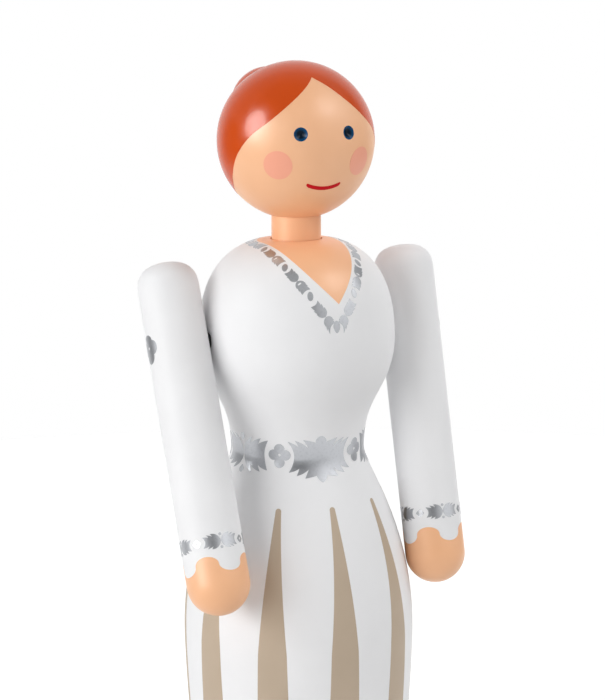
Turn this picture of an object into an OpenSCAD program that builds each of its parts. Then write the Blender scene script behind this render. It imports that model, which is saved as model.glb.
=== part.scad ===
// Wooden bride figure, turned from beech and painted. The body and its long gown are one turned
// piece. The ball head turns on a neck dowel, and the two round arms swing on shoulder screws.
// Millimetres, +Z up. The figure faces -Y and its right hand is on -X.
// The origin is the centre of the flat base.

/* [Body] */
// Height of the body from the base to the neck socket
body_h = 131.25; // [126:0.25:140]
// Diameter of the flat base
base_d = 40; // [32:0.5:44]
// Radius of the rounded edge round the base
base_edge = 1.2; // [0.4:0.1:3]
// Diameter of the gown at the hips
hip_d = 45; // [40:0.5:50]
// Height of the hips
hip_z = 54.5; // [48:0.5:64]
// Diameter of the waist
waist_d = 25.8; // [20:0.2:30]
// Height of the waist
waist_z = 90.5; // [84:0.5:96]
// Diameter of the chest
chest_d = 37.8; // [34:0.2:42]
// Distance of the chest below the top of the body
chest_below = 18.75; // [14:0.25:24]

/* [Curves of the body] */
// Share of the lower gown that rises straight from the base
base_fullness = 0.3; // [0.1:0.02:0.8]
// Share of the lower gown that drops straight from the hips
hip_drop_fullness = 0.22; // [0.1:0.02:0.8]
// Share of the upper gown that rises straight from the hips
hip_fullness = 0.56; // [0.2:0.02:0.8]
// Share of the upper gown that drops straight from the waist
waist_drop_fullness = 0.1; // [0.06:0.02:0.6]
// Share of the bodice that rises straight from the waist
waist_fullness = 0.5; // [0.2:0.02:0.8]
// Share of the bodice that drops straight from the chest
chest_drop_fullness = 0.46; // [0.2:0.02:0.8]
// Share of the shoulders that rises straight from the chest
chest_fullness = 0.94; // [0.4:0.02:1]
// Share of the shoulders that runs level into the neck
neck_fullness = 0.2; // [0.06:0.02:0.6]

/* [Head] */
// Diameter of the head
head_d = 30; // [26:0.5:36]
// Turn of the head where it stands, degrees, positive towards the figure's left
head_turn = -3.5; // [-45:0.5:45]
// Diameter of the drilled eyes at the surface
eye_d = 2.55; // [1.6:0.05:3.6]
// Angle of each eye from the middle of the face
eye_lon = 18.9; // [12:0.1:26]
// Angle of the eyes above the middle of the head
eye_lat = 8.7; // [0:0.1:20]
// Point angle of the drill that makes the eyes
eye_point = 118; // [90:1:140]
// Diameter of the hair bun
bun_d = 15; // [10:0.5:19]
// Angle of the bun above the middle of the head, at the back
bun_lat = 23.5; // [0:0.5:40]
// How far the bun's centre lies under the head's surface
bun_sink = 0.3; // [0:0.1:3]
// Diameter of the bun's dowel
bun_dowel_d = 4; // [2:0.5:6]
// Length of the bun's dowel, half of it in the head
bun_dowel_l = 10; // [6:0.5:12]

/* [Neck] */
// Diameter of the neck dowel
neck_d = 9.5; // [8:0.25:12]
// Length of neck that shows between body and head
neck_show = 4.5; // [3:0.25:8]
// Length of dowel that is glued into the head, from where the neck meets it
neck_in_head = 8; // [5:0.25:12]
// Length of dowel that stands in the body
neck_in_body = 13; // [10:0.25:15]
// Width of the counterbore round the mouth of the neck socket
mouth_gap = 0.25; // [0.1:0.05:0.6]
// Depth of that counterbore
mouth_depth = 0.8; // [0.4:0.1:2]
// Thickness of the rubber neck ring
ring_d = 1.2; // [0.8:0.1:1.6]
// Depth of the neck ring below the top of the body
ring_depth = 7; // [5:0.25:8]

/* [Arms] */
// Distance of the shoulder pivots below the top of the body
pivot_below = 18.45; // [13:0.05:24]
// Diameter of the arms
arm_d = 11.7; // [10:0.1:13]
// Length of the arm above its pivot
arm_above = 15.6; // [11:0.1:20]
// Length of the arm below its pivot, to the tip of the hand
arm_below = 51.5; // [46:0.1:56]
// Height of the domed top of the arm
arm_dome = 5; // [3:0.25:7]
// Share of the dome that rises straight from the sleeve
dome_fullness = 0.7; // [0.3:0.02:0.9]
// Share of the dome's half width that runs level at its top
dome_flatness = 0.68; // [0.2:0.02:0.9]
// Gap between arm and chest
arm_gap = 0.18; // [0.12:0.02:1]
// Gap between the resting hand and the gown
stop_gap = 0.12; // [0.1:0.02:0.5]
// Forward swing of the right arm beyond the place where it meets the gown, degrees
right_lift = 9.2; // [0:0.1:90]
// Forward swing of the left arm beyond the place where it meets the gown, degrees
left_lift = 0.1; // [0:0.1:90]

/* [Shoulder fittings] */
// Diameter of the shoulder screw
screw_d = 2; // [1.6:0.1:2.2]
// Diameter of the screw's head
screw_head_d = 3.8; // [3.4:0.1:4.2]
// Height of the screw's head
screw_head_h = 1.6; // [1.2:0.05:2]
// Width of the screw's hexagon socket across corners
screw_socket_d = 1.7; // [1.2:0.1:2.2]
// Depth of the screw's hexagon socket
screw_socket_h = 0.96; // [0.6:0.02:1.1]
// Length of screw in the body
screw_in_body = 6; // [4:0.25:6.5]
// Outer diameter of the arm's bush
bush_d = 3.2; // [2.8:0.1:3.4]
// How far the bush stands above the seat in the arm
bush_proud = 0.1; // [0.05:0.05:0.3]
// Distance of the screw's seat outside the arm's middle
seat_out = 1.25; // [0.5:0.05:1.6]
// Outer diameter of the threaded insert
insert_d = 3.6; // [3.2:0.1:5]
// Length of the threaded insert
insert_l = 6.5; // [5:0.25:8]
// How far the insert is sunk below its flat
insert_sink = 0.3; // [0.1:0.1:1]
// Number of barbs along the insert
insert_barbs = 4; // [2:1:6]
// Width of the grooves between the barbs
barb_groove = 0.65; // [0.3:0.05:0.9]
// Depth of the grooves between the barbs
barb_depth = 0.2; // [0.1:0.05:0.3]
// Diameter of the rubber washer between arm and chest
washer_d = 3.2; // [2.8:0.1:4]
// Diameter of the cap over the screw's head
cap_d = 5; // [4.8:0.1:7]

/* [Fits] */
// Radial room in a glued or pressed joint
glue_fit = 0.02; // [0.01:0.01:0.05]
// Radial room where one piece turns on another
run_fit = 0.05; // [0.02:0.01:0.1]
// Gap between faces that slide past each other
face_gap = 0.05; // [0.02:0.01:0.2]
// Radial room round a fitting that nothing touches
side_room = 0.2; // [0.1:0.05:0.4]
// Room left at the bottom of a blind hole
end_room = 0.4; // [0.2:0.1:1]
// How far a seat's flat is cut past the curve
flat_bite = 0.08; // [0.04:0.02:0.3]

/* [Hidden] */

$fn = 96;
dress_white = "#f1f1ef";
skin_peach = "#f3bf98";
hair_auburn = "#c44a12";
bare_beech = "#dcb98c";
steel_grey = "#b4b7ba";
brass_yellow = "#c9a64e";
rubber_black = "#1c1c1c";

// How far a cut runs past the face that it opens
over = 1;

// Radii
base_r = base_d / 2;
hip_r = hip_d / 2;
waist_r = waist_d / 2;
chest_r = chest_d / 2;
head_r = head_d / 2;
neck_r = neck_d / 2;
arm_r = arm_d / 2;
ring_r = ring_d / 2;
screw_r = screw_d / 2;
bush_r = bush_d / 2;
insert_r = insert_d / 2;
washer_r = washer_d / 2;
cap_r = cap_d / 2;

// Heights that hang from the top of the body
chest_z = body_h - chest_below;
pivot_z = body_h - pivot_below;

// Heights of head and neck
socket_r = neck_r + run_fit;
neck_meets_head = body_h + neck_show;
head_z = neck_meets_head + sqrt(head_r * head_r - neck_r * neck_r);
neck_top = neck_meets_head + neck_in_head;
neck_foot = body_h - neck_in_body;
ring_z = body_h - ring_depth;
ring_mid_r = neck_r - ring_r / 2;
ring_slot = ring_d + 2 * side_room;
bun_out = head_r - bun_sink;

// Curves of the body
steps = 16;
fine_steps = 80;

// Cubic curve from a to d that leaves a towards b and reaches d from c
function bezier(a, b, c, d, t) =
    pow(1 - t, 3) * a + 3 * pow(1 - t, 2) * t * b + 3 * (1 - t) * t * t * c + pow(t, 3) * d;

// Points of that curve from a up to, but without, d
function stretch(a, b, c, d, n = steps) = [for (i = [0:n - 1]) bezier(a, b, c, d, i / n)];

// A swelling that leaves [r0, z0] upright and reaches [r1, z1] upright
function swell(r0, z0, full0, r1, z1, full1, n = steps) =
    stretch([r0, z0], [r0, z0 + full0 * (z1 - z0)], [r1, z1 - full1 * (z1 - z0)], [r1, z1], n);

// Quarter circle of the rounded edge round the base
function base_arc() = [for (i = [0:steps - 1])
    let (a = -90 + 90 * i / steps)
    [base_r - base_edge + base_edge * cos(a), base_edge + base_edge * sin(a)]];

// Gown from the base up to the waist
function gown(n) = concat(
    swell(base_r, base_edge, base_fullness, hip_r, hip_z, hip_drop_fullness, n),
    swell(hip_r, hip_z, hip_fullness, waist_r, waist_z, waist_drop_fullness, n));

bodice = concat(
    swell(waist_r, waist_z, waist_fullness, chest_r, chest_z, chest_drop_fullness),
    stretch([chest_r, chest_z],
        [chest_r, chest_z + chest_fullness * (body_h - chest_z)],
        [neck_r + neck_fullness * (chest_r - neck_r), body_h],
        [neck_r, body_h]));
body_outline = concat([[0, 0]], base_arc(), gown(steps), bodice, [[neck_r, body_h], [0, body_h]]);

// Radius of the bodice at a height
function bodice_r(z) = lookup(z, [for (p = bodice) [p.y, p.x]]);

// Places along the shoulder axis, measured out from the middle of the figure
arm_x = chest_r + arm_gap + arm_r;
arm_out = arm_x + arm_r;
flat_r = washer_r + side_room;
flat_rim = min(bodice_r(pivot_z - flat_r), bodice_r(pivot_z + flat_r));
body_flat = sqrt(flat_rim * flat_rim - flat_r * flat_r) - flat_bite;
arm_flat = arm_x - sqrt(arm_r * arm_r - flat_r * flat_r) + flat_bite;
arm_seat = arm_x + seat_out;
bush_end = arm_seat + bush_proud;
head_seat = bush_end + face_gap;
screw_end = head_seat + screw_head_h;
cap_seat = screw_end + end_room;
insert_end = body_flat - insert_sink - insert_l;
pitch = insert_l / insert_barbs;

// Least gap between the lower half of an arm and the gown at a forward swing in degrees
fine_gown = gown(fine_steps);
hand_s = arm_below - arm_r;
function swing_gap(swing) =
    min([for (i = [0:steps], p = fine_gown)
        let (s = hand_s * (1 - 0.5 * i / steps))
        norm([norm([arm_x, s * sin(swing)]) - p.x, pivot_z - s * cos(swing) - p.y])]) - arm_r;

// Swing at which the hand comes to rest on the gown, found by halving an interval
function stop_swing(low, high, rounds) =
    rounds == 0 ? high :
    let (mid = (low + high) / 2)
    swing_gap(mid) < stop_gap ? stop_swing(mid, high, rounds - 1) : stop_swing(low, mid, rounds - 1);

rest_swing = stop_swing(0, 60, 16);
right_swing = rest_swing + right_lift;
left_swing = rest_swing + left_lift;

arm_outline = concat(
    [for (i = [0:steps])
        let (a = -90 + 90 * i / steps)
        [arm_r * cos(a), arm_r - arm_below + arm_r * sin(a)]],
    stretch([arm_r, arm_above - arm_dome],
        [arm_r, arm_above - (1 - dome_fullness) * arm_dome],
        [dome_flatness * arm_r, arm_above],
        [0, arm_above]),
    [[0, arm_above]]);

// Placing

// Points a piece that lies along +Z towards a place on the head, from the middle of the head
module on_head(lon, lat) {
    translate([0, 0, head_z])
        rotate([0, 0, head_turn + lon])
            rotate([90 - lat, 0, 0])
                children();
}

// Puts what is drawn for the figure's left shoulder on either side
module on_side(side) {
    mirror([side < 0 ? 1 : 0, 0, 0])
        translate([0, 0, pivot_z])
            children();
}

// Swings what is drawn for a hanging left arm forwards about the shoulder axis
module swung(side) {
    on_side(side)
        rotate([side < 0 ? -right_swing : -left_swing, 0, 0])
            children();
}

// Round bar along the shoulder axis, from one distance out to another
module bar(r, from, to) {
    translate([from, 0, 0])
        rotate([0, 90, 0])
            cylinder(r = r, h = to - from);
}

// Body

// Socket that the neck dowel turns in, with the counterbore at its mouth and the ring's groove
module neck_socket() {
    translate([0, 0, neck_foot - face_gap])
        cylinder(r = socket_r, h = neck_in_body + over);
    translate([0, 0, body_h - mouth_depth])
        cylinder(r = socket_r + mouth_gap, h = mouth_depth + over);
    translate([0, 0, ring_z - ring_slot / 2])
        cylinder(r = ring_mid_r + ring_r + run_fit, h = ring_slot);
}

// Flat seat for the washer and blind hole for the threaded insert
module shoulder_hole() {
    bar(flat_r, body_flat, chest_r + over);
    bar(insert_r + glue_fit, insert_end - end_room, body_flat + over);
}

module body() {
    color(dress_white)
        difference() {
            rotate_extrude()
                polygon(body_outline);
            neck_socket();
            on_side(1) shoulder_hole();
            on_side(-1) shoulder_hole();
        }
}

// Head and neck

// Dowel that is glued into the head and turns in the body, with a groove for the ring
module neck_dowel() {
    color(skin_peach)
        difference() {
            translate([0, 0, neck_foot])
                cylinder(r = neck_r, h = neck_top - neck_foot);
            translate([0, 0, ring_z - ring_slot / 2])
                difference() {
                    cylinder(r = neck_r + over, h = ring_slot);
                    translate([0, 0, -over])
                        cylinder(r = ring_mid_r - ring_r - run_fit, h = ring_slot + 2 * over);
                }
        }
}

module neck_ring() {
    color(rubber_black)
        translate([0, 0, ring_z])
            rotate_extrude()
                translate([ring_mid_r, 0])
                    circle(r = ring_r);
}

// Conical dimple that the drill's point leaves, as wide as the eye at the head's surface
module eye_dimple() {
    eye_r = eye_d / 2;
    rim = sqrt(head_r * head_r - eye_r * eye_r);
    depth = eye_r / tan(eye_point / 2);
    translate([0, 0, rim - depth])
        cylinder(r1 = 0, r2 = 2 * eye_r, h = 2 * depth);
}

module head() {
    color(skin_peach)
        difference() {
            translate([0, 0, head_z])
                sphere(r = head_r);
            translate([0, 0, head_z - head_r - over])
                cylinder(r = neck_r + glue_fit, h = neck_top + end_room - head_z + head_r + over);
            on_head(eye_lon, eye_lat) eye_dimple();
            on_head(-eye_lon, eye_lat) eye_dimple();
            on_head(180, bun_lat) bun_hole();
        }
}

// Hole for the bun's dowel, in head and bun alike
module bun_hole() {
    translate([0, 0, head_r - bun_dowel_l / 2 - end_room])
        cylinder(d = bun_dowel_d + 2 * glue_fit, h = bun_dowel_l + 2 * end_room);
}

module hair_bun() {
    color(hair_auburn)
        on_head(180, bun_lat)
            difference() {
                translate([0, 0, bun_out])
                    sphere(d = bun_d);
                sphere(r = head_r + glue_fit);
                bun_hole();
            }
}

module bun_dowel() {
    color(bare_beech)
        on_head(180, bun_lat)
            translate([0, 0, head_r - bun_dowel_l / 2])
                cylinder(d = bun_dowel_d, h = bun_dowel_l);
}

// Arms

// Plain turned arm: round hand, straight sleeve, domed top
module arm_blank() {
    translate([arm_x, 0, 0])
        rotate_extrude()
            polygon(arm_outline);
}

// Arm bored for its bush, with a flat for the washer inside and a counterbore for the cap outside
module arm(side) {
    color(dress_white)
        swung(side)
            difference() {
                arm_blank();
                bar(flat_r, chest_r - over, arm_flat);
                bar(bush_r + glue_fit, arm_flat - over, arm_seat + over);
                bar(cap_r, arm_seat, arm_out + over);
            }
}

// Sleeve in the arm that turns on the screw
module bush(side) {
    color(brass_yellow)
        swung(side)
            difference() {
                bar(bush_r, arm_flat, bush_end);
                bar(screw_r + run_fit, arm_flat - over, bush_end + over);
            }
}

// Wooden cap that closes the arm over the screw's head, rounded with the arm
module cap(side) {
    color(dress_white)
        swung(side)
            intersection() {
                arm_blank();
                bar(cap_r - glue_fit, cap_seat, arm_out + over);
            }
}

// Shoulder fittings that stay with the body

module screw(side) {
    color(steel_grey)
        on_side(side)
            difference() {
                union() {
                    bar(screw_r, body_flat - screw_in_body, head_seat + screw_head_h / 2);
                    bar(screw_head_d / 2, head_seat, screw_end);
                }
                translate([screw_end - screw_socket_h, 0, 0])
                    rotate([0, 90, 0])
                        cylinder(d = screw_socket_d, h = screw_head_h, $fn = 6);
            }
}

// Threaded insert with rings of barbs that hold it in the wood
module insert(side) {
    color(brass_yellow)
        on_side(side)
            difference() {
                bar(insert_r, insert_end, body_flat - insert_sink);
                for (i = [1:insert_barbs - 1])
                    difference() {
                        bar(insert_r + over, insert_end + pitch * i - barb_groove / 2,
                            insert_end + pitch * i + barb_groove / 2);
                        bar(insert_r - barb_depth, insert_end, insert_end + insert_l);
                    }
                bar(screw_r + glue_fit, insert_end - over, body_flat);
            }
}

module washer(side) {
    color(rubber_black)
        on_side(side)
            difference() {
                bar(washer_r, body_flat, arm_flat - face_gap);
                bar(screw_r + 2 * run_fit, body_flat - over, arm_flat + over);
            }
}

body();
neck_dowel();
neck_ring();
head();
hair_bun();
bun_dowel();
arm(-1);  // right_arm
arm(1);  // left_arm
bush(-1);  // right_bush
bush(1);  // left_bush
cap(-1);  // right_cap
cap(1);  // left_cap
screw(-1);  // right_screw
screw(1);  // left_screw
insert(-1);  // right_insert
insert(1);  // left_insert
washer(-1);  // right_washer
washer(1);  // left_washer
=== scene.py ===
"""Dresses a turned wooden bride figure with smooth turned surfaces, sprayed paint and silver foil.

The figure faces -Y, its right hand is on -X and +Z is up. The origin is the middle of the flat base.
Sizes are millimetres and angles are degrees. A mesh is turned into metres as it is made.
"""

from __future__ import annotations

import logging
import math
from dataclasses import dataclass
from enum import Enum
from functools import cached_property
from typing import Callable, Iterable

import bpy
import numpy as np
from mathutils import Matrix, Vector

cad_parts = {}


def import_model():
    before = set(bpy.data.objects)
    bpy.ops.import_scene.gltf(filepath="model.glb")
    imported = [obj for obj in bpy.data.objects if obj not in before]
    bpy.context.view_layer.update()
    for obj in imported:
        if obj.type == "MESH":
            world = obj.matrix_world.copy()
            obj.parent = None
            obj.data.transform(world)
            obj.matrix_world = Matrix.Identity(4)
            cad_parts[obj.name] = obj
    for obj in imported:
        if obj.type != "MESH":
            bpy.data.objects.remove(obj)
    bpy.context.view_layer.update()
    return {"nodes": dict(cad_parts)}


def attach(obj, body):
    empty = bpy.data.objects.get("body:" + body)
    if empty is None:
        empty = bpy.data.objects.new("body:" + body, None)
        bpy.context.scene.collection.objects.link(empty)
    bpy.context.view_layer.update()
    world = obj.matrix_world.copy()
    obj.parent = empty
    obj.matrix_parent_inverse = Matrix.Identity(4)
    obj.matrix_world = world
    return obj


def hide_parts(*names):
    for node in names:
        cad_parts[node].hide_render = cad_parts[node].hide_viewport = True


log = logging.getLogger("bride")

Array = np.ndarray
Place = Callable[[Array, Array, float], Array]
Tree = bpy.types.NodeTree
Node = bpy.types.Node
Socket = bpy.types.NodeSocket

MM = 0.001

# How far paint and foil stand above a surface, and how far both reach below it
PAINT = 0.03
FOIL = 0.04
ROOT = 0.03

# Angle between faces past which their edge is shaded sharp
SHARP_EDGE = 35.0

# Levels between which most of a noise pattern lies
NOISE_LOW = 0.3
NOISE_HIGH = 0.7

# Shortest distance over which a direction is taken
TINY = 1e-9


class Side(Enum):
    """The figure's own right and left, with the sign of X on that side."""

    RIGHT = -1
    LEFT = 1

    @property
    def word(self) -> str:
        """Name of the side as the CAD nodes spell it."""
        return self.name.lower()


# Curves


def bezier(*points: tuple | Array, count: int = 80, whole: bool = True) -> Array:
    """Curve that leaves the first point towards the second and reaches the last from the one before it.

    With n + 1 points, the share of point i at t is (n over i) (1 - t)^(n - i) t^i.

    Args:
        points: Points of the plane.
        count: Number of points to return.
        whole: Whether the last point is one of them.

    Returns:
        Points of shape (count, 2).
    """
    t = np.linspace(0.0, 1.0, count, endpoint=whole)[:, None]
    n = len(points) - 1
    shares = [math.comb(n, i) * (1 - t) ** (n - i) * t**i for i in range(n + 1)]
    return sum(share * np.array(point) for share, point in zip(shares, points))


def swell(start: tuple, end: tuple, full: tuple) -> Array:
    """Stretch of a turned outline that is upright at both ends, for the shares full of its height."""
    (r0, z0), (r1, z1) = start, end
    return bezier(start, (r0, z0 + full[0] * (z1 - z0)), (r1, z1 - full[1] * (z1 - z0)), end)


def through(points: Array, count: int) -> Array:
    """Smooth curve through points, each leaving along the line between its neighbours.

    Args:
        points: Points of shape (n, 2).
        count: Number of points to return.

    Returns:
        Points of shape (count, 2).
    """
    ends = np.concatenate([2 * points[:1] - points[1:2], points, 2 * points[-1:] - points[-2:-1]])
    spot = np.linspace(0.0, len(points) - 1.0, count)
    i = np.minimum(spot.astype(int), len(points) - 2)
    t = (spot - i)[:, None]
    p0, p1, p2, p3 = ends[i], ends[i + 1], ends[i + 2], ends[i + 3]
    bend = (2 * p0 - 5 * p1 + 4 * p2 - p3) * t**2 + (3 * p1 - p0 - 3 * p2 + p3) * t**3
    return p1 + 0.5 * ((p2 - p0) * t + bend)


def walk(points: Array | list, pace: float, least: int = 8) -> Array:
    """Even steps along a line of points, both ends kept.

    Args:
        points: Points of shape (n, 2).
        pace: How long a step is at most.
        least: Smallest number of steps.

    Returns:
        Points of shape (steps + 1, 2).
    """
    points = np.asarray(points, float)
    length = np.concatenate([[0.0], np.cumsum(np.hypot(*np.diff(points, axis=0).T))])
    stop = np.linspace(0.0, length[-1], max(least, math.ceil(length[-1] / pace)) + 1)
    return np.stack([np.interp(stop, length, axis) for axis in points.T], 1)


def even_turns(count: int) -> Array:
    """Angles of a full turn in even steps, without the last."""
    return np.arange(count) * 360.0 / count


def circle(count: int = 64) -> Array:
    """Points of the unit circle in even steps, of shape (count, 2)."""
    turn = np.radians(even_turns(count))
    return np.stack([np.cos(turn), np.sin(turn)], 1)


# Meshes


@dataclass
class Hull:
    """Closed surface in numbers.

    points are millimetres, quads and tris are rows of point numbers.
    """

    points: Array
    quads: Array
    tris: Array

    @classmethod
    def capped(cls, grid: Array) -> Hull:
        """Closed surface of a grid whose columns wrap and whose first and last rows are single points.

        Args:
            grid: Points of shape (rows, columns, 3).

        Returns:
            The surface, with its faces outwards.
        """
        rows, cols = grid.shape[0] - 2, grid.shape[1]
        points = np.concatenate([grid[:1, 0], grid[1:-1].reshape(-1, 3), grid[-1:, 0]])
        ring = np.arange(cols)
        after = (ring + 1) % cols
        start = np.arange(rows - 1)[:, None] * cols + 1
        corners = (start + ring, start + cols + ring, start + cols + after, start + after)
        quads = np.stack(corners, -1).reshape(-1, 4)
        last = 1 + (rows - 1) * cols
        head = np.stack([np.zeros_like(ring), 1 + ring, 1 + after], -1)
        foot = np.stack([np.full_like(ring, last + cols), last + after, last + ring], -1)
        return cls(points, quads, np.concatenate([head, foot])).outward()

    @classmethod
    def looped(cls, grid: Array) -> Hull:
        """Closed surface of a grid that wraps both ways, like a ring.

        Args:
            grid: Points of shape (rows, columns, 3).

        Returns:
            The surface, with its faces outwards.
        """
        rows, cols = grid.shape[:2]
        i = np.arange(rows)[:, None] * cols
        j = np.arange(cols)
        below, after = (i + cols) % (rows * cols), (j + 1) % cols
        quads = np.stack([i + j, below + j, below + after, i + after], -1).reshape(-1, 4)
        return cls(grid.reshape(-1, 3), quads, np.zeros((0, 3), int)).outward()

    @classmethod
    def joined(cls, hulls: Iterable[Hull]) -> Hull:
        """Several surfaces as one.

        Args:
            hulls: The surfaces, in the order of their points.

        Returns:
            One surface that holds them all.
        """
        parts = list(hulls)
        first = np.cumsum([0] + [len(h.points) for h in parts])
        quads = np.concatenate([h.quads + n for h, n in zip(parts, first)])
        tris = np.concatenate([h.tris + n for h, n in zip(parts, first)])
        return cls(np.concatenate([h.points for h in parts]), quads, tris)

    def outward(self) -> Hull:
        """Turns the faces outwards, told by the sign of the volume that they enclose.

        Returns:
            The same surface with its faces outwards.
        """
        halves = (self.quads[:, [0, 1, 2]], self.quads[:, [0, 2, 3]], self.tris)
        p, q, r = np.moveaxis(self.points[np.concatenate(halves)], 1, 0)
        if np.einsum("ij,ij->", p, np.cross(q, r)) < 0:
            return Hull(self.points, self.quads[:, ::-1], self.tris[:, ::-1])
        return self


def put(name: str, data: bpy.types.ID) -> bpy.types.Object:
    """Puts an object into the scene.

    Args:
        name: Name of the object.
        data: Its mesh, lamp or camera.

    Returns:
        The object.
    """
    thing = bpy.data.objects.new(name, data)
    bpy.context.scene.collection.objects.link(thing)
    return thing


def make_piece(name: str, hull: Hull, finish: Finish, body: str, nodes: tuple = ()) -> None:
    """Makes an object of a surface, dresses it and lets it ride on a CAD body.

    Args:
        name: Name of the piece.
        hull: Its surface.
        finish: What it is painted or covered with.
        body: CAD body that it moves with.
        nodes: CAD nodes that it stands for.
    """
    mesh = bpy.data.meshes.new(name)
    faces = hull.quads.tolist() + hull.tris.tolist()
    mesh.from_pydata((hull.points * MM).tolist(), [], faces)
    mesh.polygons.foreach_set("use_smooth", np.ones(len(faces), bool))
    mesh.set_sharp_from_angle(angle=math.radians(SHARP_EDGE))
    mesh.materials.append(finish.material())
    piece = put(name, mesh)
    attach(piece, body)
    if nodes:
        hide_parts(*nodes)
    log.info("%s rides on %s with %d faces", name, body, len(faces))


def layer(place: Place, first: Array, second: Array, rise: float) -> Array:
    """Grid of a thin layer: its upper side at rise, then its under side back, a little below the surface."""
    return np.concatenate([place(first, second, rise), place(first, second, -ROOT)[::-1]])


def plate(outline: Array, hub: tuple, place: Place, rise: float = FOIL, rings: int = 7,
          hole: tuple | None = None) -> Hull:
    """Thin plate on a surface, spread from a hub out to an outline that the hub can see all round.

    Each ring is the outline shrunk towards the hub. Where there is an oval hole round the hub, the rings
    start at its rim, which has a point for each point of the outline, in the same direction from the hub.

    Args:
        outline: Closed outline of shape (n, 2), in millimetres along the surface.
        hub: Point inside the outline.
        place: Puts flat points at a height on the surface.
        rise: Height of the upper side.
        rings: Number of rings.
        hole: Half the hole's width and height.

    Returns:
        The plate.
    """
    spoke = outline - np.array(hub)
    start = 1.0 / np.hypot(*(spoke / hole).T)[:, None] if hole else 0.0
    share = np.linspace(0.0, 1.0, rings)[:, None, None]
    flat = np.array(hub) + (start + share * (1.0 - start)) * spoke
    grid = layer(place, flat[..., 0], flat[..., 1], rise)
    return Hull.looped(grid) if hole else Hull.capped(grid)


def strip(middle: Array, half: Array, along: Array, place: Place, rise: float, across: int = 14) -> Hull:
    """Thin strip on a surface that tapers to a point at both ends.

    The flat point at a share w of the width, from -1 to 1, is (middle + w half, along).

    Args:
        middle: First coordinate of the strip's middle line.
        half: Half its width, zero at both ends.
        along: Second coordinate of the middle line.
        place: Puts flat points at a height on the surface.
        rise: Height of the upper side.
        across: Number of points across.

    Returns:
        The strip.
    """
    first = middle + half * np.linspace(-1.0, 1.0, across)[:, None]
    grid = layer(place, first, np.broadcast_to(along, first.shape), rise).swapaxes(0, 1)
    grid[[0, -1]] = grid[[0, -1]].mean(1, keepdims=True)
    return Hull.capped(grid)


# Finishes


def linear(colour: str) -> tuple:
    """Turns an sRGB hex colour such as #f0f0f0 into linear light with full cover."""
    shares = [int(colour[i : i + 2], 16) / 255 for i in (1, 3, 5)]
    return *(s / 12.92 if s <= 0.04045 else ((s + 0.055) / 1.055) ** 2.4 for s in shares), 1.0


def empty_tree(owner: bpy.types.Material | bpy.types.World) -> Tree:
    """Node tree of a material or a world, with its first nodes taken out.

    Args:
        owner: The material or world.

    Returns:
        The tree.
    """
    owner.use_nodes = True
    owner.node_tree.nodes.clear()
    return owner.node_tree


def add(tree: Tree, kind: str, inputs: dict | None = None, **settings: object) -> Node:
    """Adds a node with its settings, values and links.

    Sockets that share a name go by number: 1 to 4 are the ends of a Map Range node's two ranges, 2 and 3 a
    Mix node's numbers, and 6 and 7 its colours.

    Args:
        tree: Tree that takes the node.
        kind: Type of node.
        inputs: Values or other nodes' outputs, by the name or number of the socket.
        settings: Properties of the node.

    Returns:
        The node.
    """
    node = tree.nodes.new(kind)
    for key, value in settings.items():
        setattr(node, key, value)
    for socket, value in (inputs or {}).items():
        if isinstance(value, Socket):
            tree.links.new(value, node.inputs[socket])
        else:
            node.inputs[socket].default_value = value
    return node


def per_metre(size: float) -> float:
    """Scale of a pattern on Object coordinates whose marks are size millimetres apart."""
    return 1.0 / (size * MM)


@dataclass(frozen=True)
class Finish:
    """What a piece is painted or covered with.

    slot is the record's material slot, colour the main tone and worn the tone of its thin places.
    patch is the size of those places, and thin the noise levels at which they begin and are full. spread is
    how far the roughness strays. depth and strength are those of the grain in the surface. In the eyes the
    second tone is painted shade instead.
    """

    name: str
    slot: str
    colour: str
    worn: str
    roughness: float
    patch: float = 9.0
    thin: tuple = (NOISE_LOW, NOISE_HIGH)
    spread: float = 0.04
    depth: float = 0.004
    strength: float = 0.5

    def material(self) -> bpy.types.Material:
        """The finish as a material, made once.

        Returns:
            The material.
        """
        ready = bpy.data.materials.get(self.name)
        if ready:
            return ready
        made = bpy.data.materials.new(self.name)
        tree = empty_tree(made)
        where = add(tree, "ShaderNodeTexCoord").outputs["Object"]
        inputs = {"Roughness": self.roughness, **self.dress(tree, where)}
        shader = add(tree, "ShaderNodeBsdfPrincipled", inputs)
        add(tree, "ShaderNodeOutputMaterial", {"Surface": shader.outputs[0]})
        return made

    def dress(self, tree: Tree, where: Socket) -> dict:
        """Patterns of the finish. Each kind of finish has its own.

        Args:
            tree: Tree that takes the nodes.
            where: Coordinates of the patterns.

        Returns:
            Values and links by the shader's sockets.
        """
        raise NotImplementedError

    def tint(self, tree: Tree, where: Socket) -> Socket:
        """Main colour that goes over into the worn one in soft patches.

        Args:
            tree: Tree that takes the nodes.
            where: Coordinates of the pattern.

        Returns:
            The colour.
        """
        noise = {"Vector": where, "Scale": per_metre(self.patch), "Detail": 3.0}
        spots = add(tree, "ShaderNodeTexNoise", noise)
        share = add(tree, "ShaderNodeMapRange", {"Value": spots.outputs[0], 1: self.thin[0], 2: self.thin[1]})
        mixed = add(tree, "ShaderNodeMix", {"Factor": share.outputs[0], 6: linear(self.colour),
                    7: linear(self.worn)}, data_type="RGBA")
        return mixed.outputs[2]

    def uneven(self, tree: Tree, noise: Socket) -> Socket:
        """Roughness that strays up and down with a noise pattern."""
        inputs = {"Value": noise, 1: NOISE_LOW, 2: NOISE_HIGH,
                  3: self.roughness - self.spread, 4: self.roughness + self.spread}
        return add(tree, "ShaderNodeMapRange", inputs).outputs[0]

    def grain(self, tree: Tree, height: Socket) -> Socket:
        """Normal of the surface with a height pattern pressed into it."""
        inputs = {"Height": height, "Strength": self.strength, "Distance": self.depth * MM}
        return add(tree, "ShaderNodeBump", inputs).outputs[0]


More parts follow.
